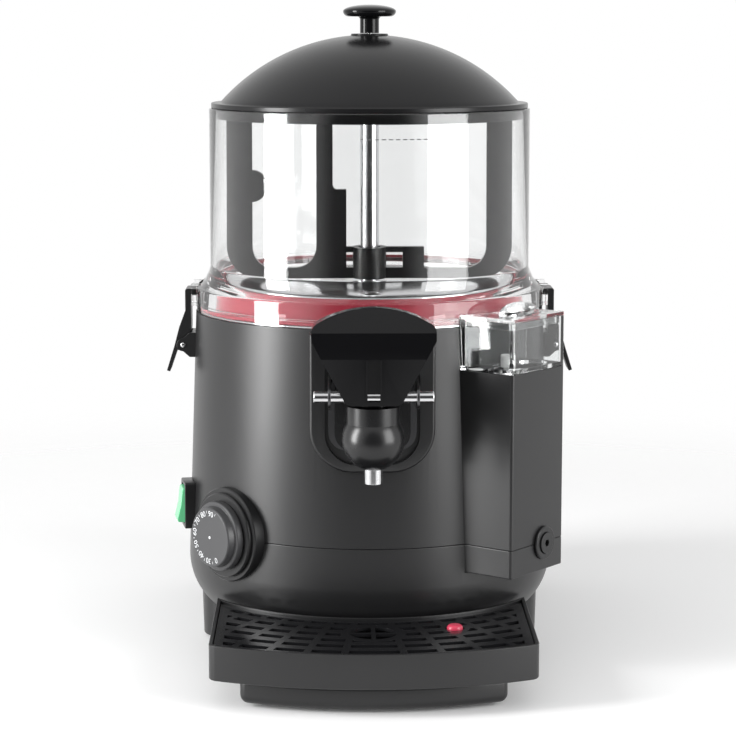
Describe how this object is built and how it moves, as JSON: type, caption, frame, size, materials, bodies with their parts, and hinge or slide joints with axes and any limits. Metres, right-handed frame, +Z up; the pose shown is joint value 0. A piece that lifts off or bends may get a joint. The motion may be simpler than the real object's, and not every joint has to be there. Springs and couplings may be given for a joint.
{
  "type": "hot chocolate dispenser",
  "caption": "Countertop hot chocolate dispenser: heated round housing, clear bowl with stirrer and domed lid, pull tap, clear water filler, dial, rocker and drip tray.",
  "frame": {"origin": "middle of the footprint, on the surface that the feet stand on", "axes": "+Z up, -Y to the front where the tap and the drip tray are, +X to the machine's right as seen from the front"},
  "size_m": [0.2974, 0.408, 0.465],
  "materials": {
    "housing_plastic": "fine satin grain, near-black",
    "lid_plastic": "semi-gloss near-black",
    "gloss_plastic": "polished black",
    "satin_plastic": "satin black",
    "clear_plastic": "clear moulded plastic",
    "polished_steel": "bright stainless steel",
    "sheet_steel": "plain sheet steel",
    "motor_paint": "dark paint",
    "seal_rubber": "soft red silicone",
    "float_red": "red plastic",
    "rocker_green": "translucent green",
    "foot_rubber": "black rubber",
    "white_plastic": "white plastic"
  },
  "bodies": {
    "machine": {"stand_housing": "housing_plastic", "base_plate": "sheet_steel", "foot_front_left": "foot_rubber", "foot_front_right": "foot_rubber", "foot_rear_left": "foot_rubber", "foot_rear_right": "foot_rubber", "rear_cover": "housing_plastic", "power_inlet": "satin_plastic", "lower_housing": "housing_plastic", "upper_housing": "housing_plastic", "water_box": "clear_plastic", "drain_bush": "satin_plastic", "bowl_floor": "polished_steel", "bowl_seal": "seal_rubber", "bowl": "clear_plastic", "latch_bracket_left": "satin_plastic", "latch_bracket_right": "satin_plastic", "water_bath": "sheet_steel", "heating_element": "sheet_steel", "motor_frame": "sheet_steel", "gearmotor": "motor_paint", "centre_tube": "polished_steel", "tap_body": "gloss_plastic", "tap_bracket": "polished_steel", "tap_pin": "polished_steel", "nozzle": "polished_steel", "tap_gland": "gloss_plastic", "outlet_tube": "polished_steel", "thermostat": "satin_plastic", "dial_bezel": "satin_plastic", "switch_bezel": "satin_plastic"},
    "stirring_unit": {"stirrer": "satin_plastic", "drive_shaft": "polished_steel", "drive_coupling": "sheet_steel", "shaft_cap": "polished_steel"},
    "lid_unit": {"lid": "lid_plastic", "lid_knob": "gloss_plastic", "knob_screw": "polished_steel"},
    "tap_handle": {"tap_lever": "gloss_plastic"},
    "plunger_unit": {"tap_plunger": "polished_steel", "valve_plug": "white_plastic", "tap_spring": "polished_steel"},
    "dial": {"dial_knob": "satin_plastic"},
    "rocker": {"switch_rocker": "rocker_green"},
    "left_latch": {"latch_left": "satin_plastic"},
    "right_latch": {"latch_right": "satin_plastic"},
    "filler_lid": {"water_box_lid": "clear_plastic"},
    "level_float": {"water_float": "white_plastic"},
    "drain_screw": {"drain_plug": "satin_plastic"},
    "tray": {"drip_tray": "housing_plastic"},
    "tray_grid": {"drip_grid": "satin_plastic"},
    "tray_indicator": {"tray_float": "float_red"}
  },
  "joints": [
    {"name": "stirrer_spin", "type": "hinge", "parent": "machine", "child": "stirring_unit", "pos_m": [0, 0.026, 0.33], "axis": [0, 0, 1], "continuous": true},
    {"name": "lid_lift", "type": "slide", "parent": "machine", "child": "lid_unit", "axis": [0, 0, 1], "range_m": [0, 0.06]},
    {"name": "tap_pull", "type": "hinge", "parent": "machine", "child": "tap_handle", "pos_m": [0, -0.16, 0.2075], "axis": [1, 0, 0], "range_deg": [0, 22]},
    {"name": "plunger_rise", "type": "slide", "parent": "machine", "child": "plunger_unit", "axis": [0, 0, 1], "range_m": [0, 0.0075], "stiffness_N_per_m": 60, "springref_m": -0.006, "deforming": ["tap_spring"]},
    {"name": "dial_turn", "type": "hinge", "parent": "machine", "child": "dial", "pos_m": [-0.11396, -0.07307, 0.094], "axis": [0.7547, 0.6561, 0], "range_deg": [0, 270]},
    {"name": "rocker_tilt", "type": "hinge", "parent": "machine", "child": "rocker", "pos_m": [-0.13443, 0.0023, 0.1035], "axis": [0.1736, -0.9848, 0], "range_deg": [0, 14]},
    {"name": "latch_left_open", "type": "hinge", "parent": "machine", "child": "left_latch", "pos_m": [-0.1365, 0.026, 0.219], "axis": [0, -1, 0], "range_deg": [0, 40]},
    {"name": "latch_right_open", "type": "hinge", "parent": "machine", "child": "right_latch", "pos_m": [0.1365, 0.026, 0.219], "axis": [0, 1, 0], "range_deg": [0, 40]},
    {"name": "filler_lid_lift", "type": "slide", "parent": "machine", "child": "filler_lid", "axis": [0, 0, 1], "range_m": [0, 0.03]},
    {"name": "float_rise", "type": "slide", "parent": "machine", "child": "level_float", "axis": [0, 0, 1], "range_m": [0, 0.018]},
    {"name": "drain_turn", "type": "hinge", "parent": "machine", "child": "drain_screw", "pos_m": [0.12257, -0.08512, 0.092], "axis": [0.788, -0.6157, 0], "range_deg": [0, 360]},
    {"name": "tray_slide", "type": "slide", "parent": "machine", "child": "tray", "axis": [0, -1, 0], "range_m": [0, 0.06]},
    {"name": "grid_lift", "type": "slide", "parent": "tray", "child": "tray_grid", "axis": [0, 0, 1], "range_m": [0, 0.015]},
    {"name": "tray_float_rise", "type": "slide", "parent": "tray", "child": "tray_indicator", "axis": [0, 0, 1], "range_m": [0, 0.01]}
  ],
  "couplings": [
    {"joint": "plunger_rise", "follows": "tap_pull", "m_per_rad": 0.0195}
  ]
}
